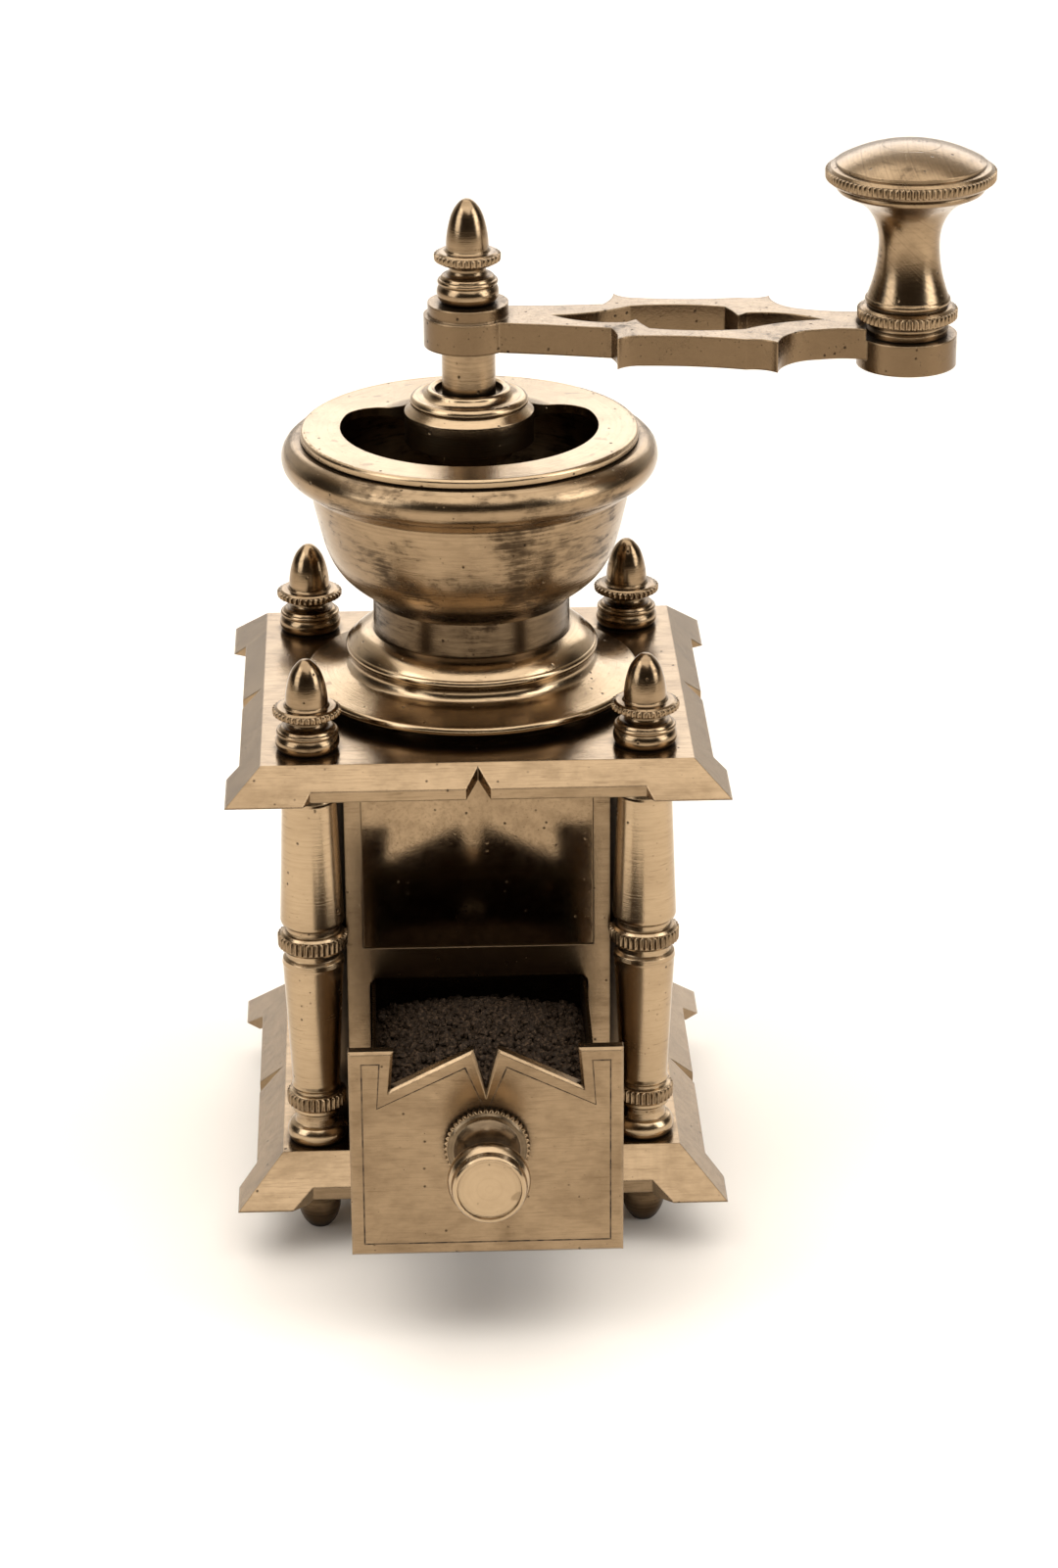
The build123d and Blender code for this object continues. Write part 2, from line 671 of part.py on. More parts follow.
keep(knob_place * handle_knob.part, "handle_knob")

with BuildPart() as knob_pin:
    with BuildSketch(Plane.XZ):
        with BuildLine():
            shank = Polyline(
                (0, -arm_thickness), (pin_shank, -arm_thickness), (pin_shank, knob_height - 2.5),
                (head_radius, knob_height - 2.5), (head_radius, dome_height(head_radius)),
            )
            crown = ThreePointArc(shank @ 1, (3.5, dome_height(3.5)), (0, knob_height))
            Line(crown @ 1, shank @ 0)
        make_face()
    revolve(axis=Axis.Z)
keep(knob_place * knob_pin.part, "knob_pin")


# ---------------------------------------------------------------- drawer, standing open
drawer_back = -(wall_face + 0.3) - drawer_out        # back face of the decorative front
tray_rear = 34.2 - drawer_out
tray_bottom = base_top + 0.2
tray_height = tray_top - tray_bottom
tray_length = tray_rear - drawer_back
screw_radius = 1.8
rivet_radius = 1.4
rivet_places = [(-19.0, 31.0), (19.0, 31.0), (-19.0, 59.0), (19.0, 59.0)]

with BuildPart() as drawer_tray:
    with BuildSketch(Plane.XY.offset(tray_bottom)):
        with Locations((0, (drawer_back + tray_rear) / 2)):
            Rectangle(2 * tray_half, tray_length)
    extrude(amount=tray_height)
    with BuildSketch(Plane.XY.offset(tray_bottom + sheet)):
        with Locations((0, (drawer_back + tray_rear) / 2)):
            Rectangle(2 * (tray_half - sheet), tray_length - 2 * sheet)
    extrude(amount=tray_height, mode=Mode.SUBTRACT)
    with BuildSketch(Plane.XZ.offset(-drawer_back - 2)):
        with Locations((0, drawer_knob_height)):
            Circle(screw_radius)
        with Locations(*rivet_places):
            Circle(rivet_radius)
    extrude(amount=4, mode=Mode.SUBTRACT)
keep(drawer_tray.part, "drawer_tray")

front_half = 31.6
front_low = 24.6
front_high = 77.0
with BuildPart() as drawer_front:
    with BuildSketch(Plane.XZ.offset(-drawer_back)):
        with BuildLine():
            Polyline(
                (-front_half, front_low), (front_half, front_low), (front_half, front_high),
                (21.2, front_high), (22.0, 67.4), (2.9, front_high), (0, 66.8), (-2.9, front_high),
                (-22.0, 67.4), (-21.2, front_high), (-front_half, front_high), close=True,
            )
        make_face()
    extrude(amount=drawer_plate_thickness)
    front_face = drawer_front.faces().sort_by(Axis.Y)[0]
    chamfer(front_face.edges(), length=0.6)
    with BuildSketch(Plane.XZ.offset(-drawer_back)):
        with Locations((0, drawer_knob_height)):
            Circle(screw_radius)
        with Locations(*rivet_places):
            Circle(rivet_radius)
    extrude(amount=1.6, mode=Mode.SUBTRACT)
    with BuildSketch(Plane.XZ.offset(-drawer_back)):
        with Locations((0, drawer_knob_height)):
            Circle(screw_radius)
    extrude(amount=drawer_plate_thickness, mode=Mode.SUBTRACT)
keep(drawer_front.part, "drawer_front")

drawer_face = drawer_back - drawer_plate_thickness
knob_front = 23.0
knob_plane = Plane(origin=(0, drawer_face, drawer_knob_height), x_dir=(1, 0, 0), z_dir=(0, 0, -1))
knob_axis = Axis((0, 0, drawer_knob_height), (0, 1, 0))
with BuildPart() as drawer_knob:
    with BuildSketch(knob_plane):
        with BuildLine():
            collar = Polyline((screw_radius, 0), (8.8, 0), (9.3, 0.5), (9.3, 2.4), (8.7, 2.9), (7.8, 3.1))
            waist = Spline(
                collar @ 1, (6.3, 6.5), (6.4, 10.5), (8.6, 15.6),
                tangents=[(-0.7, 1), (0.7, 1)],
            )
            head = ThreePointArc(waist @ 1, (9.5, 18.0), (8.7, 20.6))
            brim = Polyline(head @ 1, (8.4, 22.4), (8.0, knob_front), (7.4, knob_front), (7.2, 22.2))
            Polyline(brim @ 1, (0, 22.2), (0, 9.0), (screw_radius, 9.0), (screw_radius, 0))
        make_face()
    revolve(axis=knob_axis)
keep(drawer_knob.part, "drawer_knob")

screw_plane = Plane(origin=(0, drawer_back + sheet, drawer_knob_height), x_dir=(1, 0, 0), z_dir=(0, 0, -1))
with BuildPart() as drawer_knob_screw:
    with BuildSketch(screw_plane):
        with BuildLine():
            Polyline(
                (0, 12.0), (screw_radius, 12.0), (screw_radius, 0), (3.6, 0), (3.6, -1.0), (2.6, -1.8),
                (0, -1.8), close=True,
            )
        make_face()
    revolve(axis=knob_axis)
keep(drawer_knob_screw.part, "drawer_knob_screw")

rivets = []
for x, z in rivet_places:
    rivet_plane = Plane(origin=(x, drawer_back + sheet, z), x_dir=(1, 0, 0), z_dir=(0, 0, -1))
    with BuildPart() as rivet:
        with BuildSketch(rivet_plane):
            with BuildLine():
                Polyline(
                    (0, sheet + 1.5), (rivet_radius, sheet + 1.5), (rivet_radius, 0), (2.4, 0),
                    (2.1, -0.6), (1.2, -1.0), (0, -1.1), close=True,
                )
            make_face()
        revolve(axis=Axis((x, 0, z), (0, 1, 0)))
    rivets.append(rivet.part)
keep(Compound(rivets), "drawer_rivets")

heap_peak = 61.5
heap_centre = -drawer_out + 4.0
heap_gap = 0.1
with BuildPart() as coffee_grounds:
    with BuildSketch(Plane.XY.offset(tray_bottom + sheet)):
        with Locations((0, (drawer_back + 4.0 + tray_rear - sheet) / 2)):
            Rectangle(2 * (tray_half - sheet - heap_gap), tray_length - 4.0 - sheet - 2 * heap_gap)
    extrude(amount=tray_top - tray_bottom - sheet)
    heap_plane = Plane(origin=(0, heap_centre, 0), x_dir=(1, 0, 0), z_dir=(0, -1, 0))
    with BuildSketch(heap_plane):
        with BuildLine():
            crest = ThreePointArc((0, heap_peak), (12.0, heap_peak - 2.2), (26.0, heap_peak - 8.0))
            Polyline(crest @ 1, (50.0, heap_peak - 19.0), (50.0, 20.0), (0, 20.0), (0, heap_peak))
        make_face()
    revolve(axis=Axis((0, heap_centre, 0), (0, 0, 1)), mode=Mode.INTERSECT)
keep(coffee_grounds.part, "coffee_grounds")
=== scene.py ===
"""Finishes, knurled bands, engraved border, ground coffee and studio of a brass box coffee mill."""

import math

import bmesh
import bpy
import numpy as np
from bpy.props import FloatProperty, FloatVectorProperty, IntProperty, PointerProperty
from mathutils import Matrix, Vector


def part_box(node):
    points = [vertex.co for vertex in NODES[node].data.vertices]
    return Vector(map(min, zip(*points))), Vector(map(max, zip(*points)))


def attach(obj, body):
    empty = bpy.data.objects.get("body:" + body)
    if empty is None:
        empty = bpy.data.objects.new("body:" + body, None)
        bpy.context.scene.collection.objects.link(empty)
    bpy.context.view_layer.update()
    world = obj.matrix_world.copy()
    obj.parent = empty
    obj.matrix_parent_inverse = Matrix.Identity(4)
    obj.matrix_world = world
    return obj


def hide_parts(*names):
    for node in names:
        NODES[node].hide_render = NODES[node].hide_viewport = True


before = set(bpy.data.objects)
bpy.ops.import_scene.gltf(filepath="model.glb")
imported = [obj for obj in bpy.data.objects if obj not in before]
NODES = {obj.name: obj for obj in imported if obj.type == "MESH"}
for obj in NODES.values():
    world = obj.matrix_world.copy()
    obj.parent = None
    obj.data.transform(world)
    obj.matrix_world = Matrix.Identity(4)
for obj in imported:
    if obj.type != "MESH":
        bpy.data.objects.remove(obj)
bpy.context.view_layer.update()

bl_info = {
    "name": "Box coffee mill",
    "version": (1, 0, 0),
    "blender": (4, 5, 0),
    "location": "View3D > Sidebar > Mill",
    "description": "Finishes, knurled bands, engraved border, ground coffee and studio of a box mill",
    "category": "Add Mesh",
}

MM = 0.001
COLUMNS = ("front_left", "front_right", "rear_left", "rear_right")


# ---------------------------------------------------------------- sizes and colours
class MillColours(bpy.types.PropertyGroup):
    """Colours of the metal, its tarnish (also used for painted shade) and the coffee."""

    pale: FloatVectorProperty(
        name="Pale brass", description="Worn, polished brass of the plates",
        subtype="COLOR", size=3, default=(0.42, 0.312, 0.195),
    )
    warm: FloatVectorProperty(
        name="Warm brass", description="Turned brass of the hopper and columns",
        subtype="COLOR", size=3, default=(0.31, 0.222, 0.134),
    )
    brown: FloatVectorProperty(
        name="Brown brass", description="Brass under an even brown patina",
        subtype="COLOR", size=3, default=(0.15, 0.10, 0.056),
    )
    # Tarnish is also the colour of the painted shade in corners, on the bowl's inner faces, towards its neck
    # and at the drawer knob's waist.
    tarnish: FloatVectorProperty(
        name="Tarnish", description="Dark stains and the dirt in corners",
        subtype="COLOR", size=3, default=(0.026, 0.016, 0.009),
    )
    steel: FloatVectorProperty(
        name="Steel", description="Rods, screws and the grind screw",
        subtype="COLOR", size=3, default=(0.36, 0.33, 0.29),
    )
    iron: FloatVectorProperty(
        name="Iron", description="Burrs and their bridge",
        subtype="COLOR", size=3, default=(0.13, 0.115, 0.10),
    )
    coffee: FloatVectorProperty(
        name="Coffee", description="Coarse ground coffee",
        subtype="COLOR", size=3, default=(0.021, 0.013, 0.0075),
    )


class MillTrim(bpy.types.PropertyGroup):
    """Sizes of the fine work that stands on the frame's pieces."""

    ridge_pitch: FloatProperty(
        name="Ridge pitch", description="Distance from one knurled ridge to the next",
        default=1.3 * MM, min=0.5 * MM, unit="LENGTH",
    )
    ridge_depth: FloatProperty(
        name="Ridge depth", description="Height of a knurled ridge over its valley",
        default=0.6 * MM, min=0.1 * MM, unit="LENGTH",
    )
    border_inset: FloatProperty(
        name="Border inset", description="Distance of the engraved border from the drawer front's edge",
        default=3.0 * MM, min=1.0 * MM, unit="LENGTH",
    )
    border_width: FloatProperty(
        name="Border width", description="Width of the engraved line",
        default=0.34 * MM, min=0.1 * MM, unit="LENGTH",
    )
    grain_size: FloatProperty(
        name="Grain size", description="Radius of a middling coffee grain",
        default=1.0 * MM, min=0.2 * MM, unit="LENGTH",
    )
    grain_count: IntProperty(
        name="Grains", description="Number of loose coffee grains on the heap", default=3800, min=100,
    )


class MillStudio(bpy.types.PropertyGroup):
    """Camera, lamps and floor."""

    camera_place: FloatVectorProperty(
        name="Camera place", description="Position of the camera",
        size=3, subtype="TRANSLATION", unit="LENGTH", default=(-0.021, -1.0346, 0.535),
    )
    camera_turn: FloatVectorProperty(
        name="Camera turn", description="Turn of the camera about X, Y and Z",
        size=3, subtype="EULER", default=(math.radians(67.19), math.radians(0.35), math.radians(-2.07)),
    )
    lens: FloatProperty(
        name="Lens", description="Focal length on a picture 36 mm high", default=104.1, min=20, unit="CAMERA",
    )
    floor_radius: FloatProperty(
        name="Floor radius", description="Half width of the pale floor", default=6.0, min=1, unit="LENGTH",
    )
    lamp_power: FloatProperty(
        name="Lamp power", description="Power of the large lamp overhead", default=76.0, min=0, unit="POWER",
    )


def colours():
    """The colour settings of this scene."""
    return bpy.context.scene.mill_colours


def trim():
    """The fine-work sizes of this scene."""
    return bpy.context.scene.mill_trim


def studio():
    """The studio settings of this scene."""
    return bpy.context.scene.mill_studio


# ---------------------------------------------------------------- shader expressions
class Wire:
    """One socket of a material, with arithmetic that adds Math and Vector Math nodes."""

    def __init__(self, net, socket):
        self.net = net
        self.socket = socket

    def apply(self, operation, first, second):
        """A Math or Vector Math node on two inputs, by the kind of this socket."""
        kind = "ShaderNodeVectorMath" if self.socket.type == "VECTOR" else "ShaderNodeMath"
        return self.net.node(kind, {"operation": operation}, {0: first, 1: second})

    def __add__(self, other):
        return self.apply("ADD", self, other)

    def __radd__(self, other):
        return self.apply("ADD", other, self)

    def __sub__(self, other):
        return self.apply("SUBTRACT", self, other)

    def __rsub__(self, other):
        return self.apply("SUBTRACT", other, self)

    def __mul__(self, other):
        return self.apply("MULTIPLY", self, other)

    def __rmul__(self, other):
        return self.apply("MULTIPLY", other, self)

    def __abs__(self):
        kind = "ShaderNodeVectorMath" if self.socket.type == "VECTOR" else "ShaderNodeMath"
        return self.net.node(kind, {"operation": "ABSOLUTE"}, {0: self})

    def step(self, low, high):
        """A smooth step from 0 at low to 1 at high."""
        return self.net.node(
            "ShaderNodeMapRange", {"interpolation_type": "SMOOTHSTEP"},
            {"Value": self, "From Min": low, "From Max": high},
        )


class Net:
    """A material's node tree, built from expressions."""

    def __init__(self, name):
        self.material = bpy.data.materials.new(name)
        self.material.use_nodes = True
        self.tree = self.material.node_tree
        self.tree.nodes.clear()

    def node(self, kind, settings=None, inputs=None, output=0):
        """Any node: its settings first, then the values or links of its sockets."""
        made = self.tree.nodes.new(kind)
        for key, value in (settings or {}).items():
            setattr(made, key, value)
        for key, value in (inputs or {}).items():
            self.feed(made.inputs[key], value)
        return Wire(self, made.outputs[output])

    def feed(self, socket, value):
        """Link a wire to a socket, or set the socket's own value."""
        if isinstance(value, Wire):
            self.tree.links.new(value.socket, socket)
        elif socket.type == "RGBA":
            socket.default_value = (*value, 1.0)
        elif socket.type == "VECTOR" and isinstance(value, (int, float)):
            socket.default_value = (value, value, value)
        else:
            socket.default_value = value

    def place(self):
        """Position on the mill in millimetres."""
        return self.node("ShaderNodeTexCoord", output="Object") * 1000.0

    def split(self, vector):
        """The three parts of a vector."""
        made = self.tree.nodes.new("ShaderNodeSeparateXYZ")
        self.tree.links.new(vector.socket, made.inputs[0])
        return [Wire(self, made.outputs[part]) for part in range(3)]

    def join(self, x, y, z):
        """A vector from three values."""
        return self.node("ShaderNodeCombineXYZ", inputs={0: x, 1: y, 2: z})

    def noise(self, vector, scale, detail=4.0, roughness=0.6, distortion=0.0):
        """Cloudy noise, 0 to 1, with features about 1 / scale millimetres across."""
        return self.node(
            "ShaderNodeTexNoise", None,
            {"Vector": vector, "Scale": scale, "Detail": detail, "Roughness": roughness,
             "Distortion": distortion},
        )

    def rings(self, value, scale, detail=3.0):
        """Noise along one direction only."""
        return self.node(
            "ShaderNodeTexNoise", {"noise_dimensions": "1D"},
            {"W": value, "Scale": scale, "Detail": detail, "Roughness": 0.7},
        )

    def mix(self, factor, first, second):
        """A colour between two colours."""
        made = self.tree.nodes.new("ShaderNodeMix")
        made.data_type = "RGBA"
        self.feed(made.inputs[0], factor)
        self.feed(made.inputs[6], first)
        self.feed(made.inputs[7], second)
        return Wire(self, made.outputs[2])

    def pits(self, place, scale, share):
        """Scattered round specks: 1 in a pit, 0 elsewhere."""
        settings = {"Vector": place, "Scale": scale, "Randomness": 1.0}
        near = self.node("ShaderNodeTexVoronoi", None, settings, "Distance")
        cell = self.node("ShaderNodeTexVoronoi", None, settings, "Color")
        chosen = self.split(cell)[0].step(1.0 - share, 1.0 - share + 0.02)
        return (1.0 - near.step(0.05, 0.20)) * chosen

    def crevice(self, reach):
        """1 deep in a corner between pieces, 0 on open faces: ambient occlusion, which stands for the shade
        there.
        """
        open_sky = self.node(
            "ShaderNodeAmbientOcclusion", {"samples": 6}, {"Distance": reach}, "AO",
        )
        return 1.0 - open_sky.step(0.25, 0.85)

    def soft_edge(self, radius):
        """A normal that rounds sharp edges, and a mask that is 1 along them."""
        rounded = self.node("ShaderNodeBevel", {"samples": 4}, {"Radius": radius})
        true_normal = self.node("ShaderNodeNewGeometry", output="Normal")
        made = self.node("ShaderNodeVectorMath", {"operation": "DOT_PRODUCT"},
                         {0: rounded, 1: true_normal}, "Value")
        return rounded, (1.0 - made).step(0.01, 0.14)

    def finish(self, colour, rough, metal, height=None, depth=0.0, normal=None, **constants):
        """The shader and its output; constants are set on the shader's own sockets."""
        shader = self.tree.nodes.new("ShaderNodeBsdfPrincipled")
        self.feed(shader.inputs["Base Color"], colour)
        self.feed(shader.inputs["Roughness"], rough)
        shader.inputs["Metallic"].default_value = metal
        for name, value in constants.items():
            shader.inputs[name.replace("_", " ")].default_value = value
        if height is not None:
            relief = {"Height": height, "Distance": depth, "Strength": 1.0}
            if normal is not None:
                relief["Normal"] = normal
            self.feed(shader.inputs["Normal"], self.node("ShaderNodeBump", None, relief))
        output = self.tree.nodes.new("ShaderNodeOutputMaterial")
        self.tree.links.new(shader.outputs[0], output.inputs[0])
        return self.material


# ---------------------------------------------------------------- finishes
# How finely the clouds and the scratches are drawn out along X, Y and Z, for each kind of work.
STREAKS = {
    "turned": (0.6, 0.6, 2.6),
    "turned_y": (0.6, 2.6, 0.6),
    "brushed": (0.5, 1.2, 1.2),
    "cast": (1.0, 1.0, 1.0),
}
SCRATCHES = {
    "turned": (0.15, 0.15, 2.2),
    "turned_y": (0.15, 2.2, 0.15),
    "brushed": (0.1, 1.7, 1.7),
    "cast": (0.9, 0.25, 0.9),
}


def tool_marks(net, place, work, post=0.0, height=0.0):
    """Fine marks of the lathe or the file: 'turned', 'turned_y', 'brushed' or 'cast'."""
    x, y, z = net.split(place)
    if work == "turned":
        flat = net.join(abs(x) - post, abs(y) - post, 0.0)
        radius = net.node("ShaderNodeVectorMath", {"operation": "LENGTH"}, {0: flat}, "Value")
        return net.rings(radius + z, 1.5, 5.0)
    if work == "turned_y":
        flat = net.join(x, z - height, 0.0)
        radius = net.node("ShaderNodeVectorMath", {"operation": "LENGTH"}, {0: flat}, "Value")
        return net.rings(radius + y, 1.5, 5.0)
    if work == "brushed":
        return net.noise(place * (0.12, 2.4, 2.4), 1.0, 3.0, 0.7)
    return net.noise(place, 1.3, 3.0, 0.6)


def aged_metal(name, light, deep, work, polish=0.2, stained=0.5, pitted=0.2, relief=0.035,
               edge=0.3, grime_and_shade_reach=3.0, post=0.0, height=0.0, painted_inner_shade=False, painted_side_shade=0.0,
               painted_shade_along=None):
    """Old polished metal: clouds of tarnish, pits, tool marks, dirt and painted shade in corners, and worn
    edges.

    The lathe marks of a column go round an axis that stands post from the mill's own in X and Y,
    and those of the drawer knob round one at this height. Painted_inner_shade paints shade on the
    faces that look at the mill's axis, and painted_side_shade paints shade on those that don't look up.
    Painted_shade_along is (axis, unshaded_at, dark): shade is painted, with a mottled edge, from none at the
    first place along the axis to tarnish at the second.
    """
    tone = colours()
    net = Net(name)
    place = net.place()
    cloud = net.noise(place, 0.045, 5.0, 0.62, 0.6)
    mottle = net.noise(place * STREAKS[work], 0.3, 5.0, 0.65)
    scratch = net.noise(place * SCRATCHES[work], 1.0, 2.0, 0.5, 0.4)
    grain = net.noise(place, 3.5, 2.0, 0.6)
    marks = tool_marks(net, place, work, post, height)
    stain_field = cloud * 0.62 + mottle * 0.26 + marks * 0.12
    stain = stain_field.step(0.66 - 0.2 * stained, 0.78 - 0.2 * stained)
    pit = net.pits(place, 0.42, pitted)
    speck = net.pits(place, 1.15, pitted * 0.6)
    grime_and_shade = net.crevice(grime_and_shade_reach * MM)
    rounded, worn = net.soft_edge(edge * MM)
    base = net.mix(cloud.step(0.35, 0.75) * 0.6 + mottle.step(0.4, 0.7) * 0.3, light, deep)
    base = net.mix(marks.step(0.45, 0.75) * 0.45, base, deep)
    base = net.mix(scratch.step(0.66, 0.72) * 0.5, base, tone.brown)
    base = net.mix(stain * 0.8, base, tone.tarnish)
    # Dirt and painted shade: corners and knurl valleys found by ambient occlusion are darkened to tarnish.
    base = net.mix(grime_and_shade * 0.82, base, tone.tarnish)
    # Painted shade: faces that don't look up are darkened towards the deep colour.
    if painted_side_shade:
        upward = net.split(net.node("ShaderNodeNewGeometry", output="Normal"))[2]
        base = net.mix((1.0 - upward.step(0.2, 0.75)) * painted_side_shade, base, deep)
    # Painted shade along one axis, with a mottled edge, darkens towards tarnish.
    if painted_shade_along:
        along, unshaded_at, dark = painted_shade_along
        shade_along = net.split(place)[along].step(unshaded_at, dark)
        base = net.mix(shade_along * (0.45 + mottle * 0.5), base, tone.tarnish)
    base = net.mix(worn * 0.7, base, light)
    base = net.mix(pit * 0.8, base, tone.tarnish)
    base = net.mix(speck * 0.7, base, tone.tarnish)
    rough = polish + stain * 0.22 + grime_and_shade * 0.2 + mottle * 0.12 + marks * 0.08 + pit * 0.2 - 0.1
    # Painted shade: faces that look at the mill's axis are darkened towards tarnish.
    if painted_inner_shade:
        inward = net.node("ShaderNodeVectorMath", {"operation": "DOT_PRODUCT"},
                          {0: net.node("ShaderNodeNewGeometry", output="Normal"),
                           1: place * (1.0, 1.0, 0.0)}, "Value")
        inner_shade = inward.step(-1.0, -6.0)
        base = net.mix(inner_shade * 0.5, base, tone.tarnish)
        rough = rough + inner_shade * 0.25
    height_field = marks * 0.7 + grain * 0.5 + mottle * 0.6 - pit * 2.2 - speck * 1.2
    return net.finish(base, rough, 1.0, height_field, relief * MM, rounded)


def band_metal():
    """Knurled brass: bright ridges, valleys blackened by dirt and painted shade. All the bands share it."""
    made = bpy.data.materials.get("band_brass")
    if made is None:
        tone = colours()
        made = aged_metal("band_brass", tone.warm, tone.brown, "cast", polish=0.24, stained=0.3,
                          pitted=0.1, edge=0.12, grime_and_shade_reach=2.2)
    return made


def ground_coffee(name):
    """Matt dark grains, some paler."""
    tone = colours()
    net = Net(name)
    place = net.place()
    spot = net.noise(place, 1.4, 3.0, 0.7)
    fleck = net.noise(place, 0.5, 2.0, 0.6)
    paler = tuple(4.2 * part for part in tone.coffee)
    base = net.mix(spot.step(0.45, 0.72), tone.coffee, paler)
    rough = 0.62 + fleck * 0.2
    return net.finish(base, rough, 0.0, spot, 0.15 * MM, Specular_IOR_Level=0.15)


def engraved_dirt(name):
    """Black tarnish that fills an engraved line."""
    tone = colours()
    net = Net(name)
    broken = net.noise(net.place(), 0.55, 4.0, 0.7)
    base = net.mix(broken.step(0.4, 0.62), tone.tarnish, tone.brown)
    rough = 0.5 + broken * 0.2
    return net.finish(base, rough, 0.6, broken, 0.02 * MM)


def floor_paint(name):
    """Seamless pale paper."""
    net = Net(name)
    place = net.place()
    cloud = net.noise(place, 0.004, 2.0, 0.5)
    base = net.mix(cloud, (0.95, 0.905, 0.84), (0.96, 0.915, 0.85))
    rough = 0.85 + cloud * 0.05
    return net.finish(base, rough, 0.0)


def clothe(material, *names):
    """Give CAD nodes a finish."""
    for name in names:
        mesh = NODES[name].data
        mesh.materials.clear()
        mesh.materials.append(material)


# ---------------------------------------------------------------- mesh tools
def settle(name, mesh_builder, material, body, smooth_angle=40):
    """Turn a bmesh into a finished piece that rides on a body."""
    bmesh.ops.recalc_face_normals(mesh_builder, faces=mesh_builder.faces)
    mesh = bpy.data.meshes.new(name)
    mesh_builder.to_mesh(mesh)
    mesh_builder.free()
    piece = bpy.data.objects.new(name, mesh)
    bpy.context.scene.collection.objects.link(piece)
    mesh.materials.append(material)
    mesh.shade_smooth()
    mesh.set_sharp_from_angle(angle=math.radians(smooth_angle))
    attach(piece, body)
    return piece


def knurled_band(made, radius, low, high, turn):
    """Add a ring of rounded axial ridges about an axis. Turn places the ring on the mill."""
    depth = trim().ridge_depth
    ridges = round(2 * math.pi * radius / trim().ridge_pitch)
    shoulder = 0.3 * MM
    # Round a ridge's section: out from the radius, up from the band's foot, share of the depth.
    profile = (
        (-0.5 * MM, 0.02 * MM, 0.0), (0.02 * MM, 0.04 * MM, 0.1), (0.05 * MM, shoulder, 0.9),
        (0.05 * MM, high - low - shoulder, 1.0), (0.02 * MM, high - low - 0.04 * MM, 0.1),
        (-0.5 * MM, high - low - 0.02 * MM, 0.0),
    )
    per_ridge = (0.0, 0.55, 1.0, 1.0, 0.55, 0.0)
    loops = []
    for step in range(ridges * len(per_ridge)):
        angle = 2 * math.pi * step / (ridges * len(per_ridge))
        crest = per_ridge[step % len(per_ridge)]
        loop = []
        for out, rise, share in profile:
            reach = radius + out + depth * crest * share
            point = turn @ Vector((reach * math.cos(angle), reach * math.sin(angle), low + rise))
            loop.append(made.verts.new(point))
        loops.append(loop)
    for first, second in zip(loops, loops[1:] + loops[:1]):
        for index in range(len(profile)):
            following = (index + 1) % len(profile)
            made.faces.new((first[index], second[index], second[following], first[following]))


# Knurled bands in millimetres: radius, foot and top, along the axis from the piece's end.
COLUMN_BANDS = ((7.8, 51.7, 55.1), (6.6, 9.6, 13.0), (6.6, 94.4, 97.4))
FINIAL_BANDS = ((7.5, 8.7, 10.4),)
CRANK_NUT_BANDS = ((7.3, 10.1, 12.1),)
HANDLE_KNOB_BANDS = ((11.2, 3.8, 6.4), (19.3, 37.3, 39.8))
DRAWER_KNOB_BANDS = ((9.3, 0.3, 2.5),)
KNOB_GAP = 0.3 * MM     # the turning knob's bands are measured from the boss, this far below the knob


def cut_bands(name, bands, turn, body):
    """One piece with all the knurled bands of a turned piece, which share its axis."""
    made = bmesh.new()
    for radius, foot, top in bands:
        knurled_band(made, radius * MM, foot * MM, top * MM, turn)
    settle(name, made, band_metal(), body)


def upright(node):
    """The vertical axis of a turned CAD node: its middle, at the level of its lowest point."""
    low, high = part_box(node)
    return Matrix.Translation(((low.x + high.x) / 2, (low.y + high.y) / 2, low.z))


# ---------------------------------------------------------------- operators: finishes of the frame's pieces
class MILL_OT_plates(bpy.types.Operator):
    """Polish the two skirted plates"""

    bl_idname = "mill.plates"
    bl_label = "Plates"

    def execute(self, context):
        tone = colours()
        plate = aged_metal("plate_brass", tone.warm, tone.brown, "brushed", polish=0.18, stained=0.2,
                           pitted=0.1, relief=0.02, edge=0.5, grime_and_shade_reach=2.4)
        clothe(plate, "top_plate", "base_plate")
        return {"FINISHED"}


class MILL_OT_columns(bpy.types.Operator):
    """Finish the four columns and the feet and rods that clamp them"""

    bl_idname = "mill.columns"
    bl_label = "Columns"

    def execute(self, context):
        tone = colours()
        post = (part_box("column_front_right")[0].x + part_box("column_front_right")[1].x) / 2 / MM
        column = aged_metal("column_brass", tone.pale, tone.warm, "turned", polish=0.2, stained=0.4,
                            pitted=0.2, post=post, grime_and_shade_reach=4.0)
        acorn = aged_metal("finial_brass", tone.warm, tone.brown, "turned", polish=0.16, stained=0.5,
                           pitted=0.15, post=post, grime_and_shade_reach=3.0)
        foot = aged_metal("foot_brass", tone.brown, tone.tarnish, "turned", polish=0.3, stained=0.8, post=post)
        rod = aged_metal("rod_steel", tone.steel, tone.iron, "cast", polish=0.35, stained=0.4)
        for place in COLUMNS:
            clothe(column, "column_" + place)
            clothe(acorn, "finial_" + place)
        clothe(foot, "bun_feet")
        clothe(rod, "tie_rods")
        return {"FINISHED"}


class MILL_OT_walls(bpy.types.Operator):
    """Finish the sheet walls, the front frame, its inset panel and the runners"""

    bl_idname = "mill.walls"
    bl_label = "Walls"

    def execute(self, context):
        tone = colours()
        sheet = aged_metal("wall_brass", tone.warm, tone.brown, "brushed", polish=0.2, stained=0.4,
                           pitted=0.3, relief=0.012, edge=0.4, grime_and_shade_reach=5.0)
        panel = aged_metal("panel_brass", tone.warm, tone.brown, "cast", polish=0.09, stained=0.35,
                           pitted=0.3, relief=0.006, grime_and_shade_reach=4.0)
        clothe(sheet, "front_frame", "rear_wall", "left_wall", "right_wall", "corner_strips",
               "left_runner", "right_runner")
        clothe(panel, "front_panel")
        return {"FINISHED"}


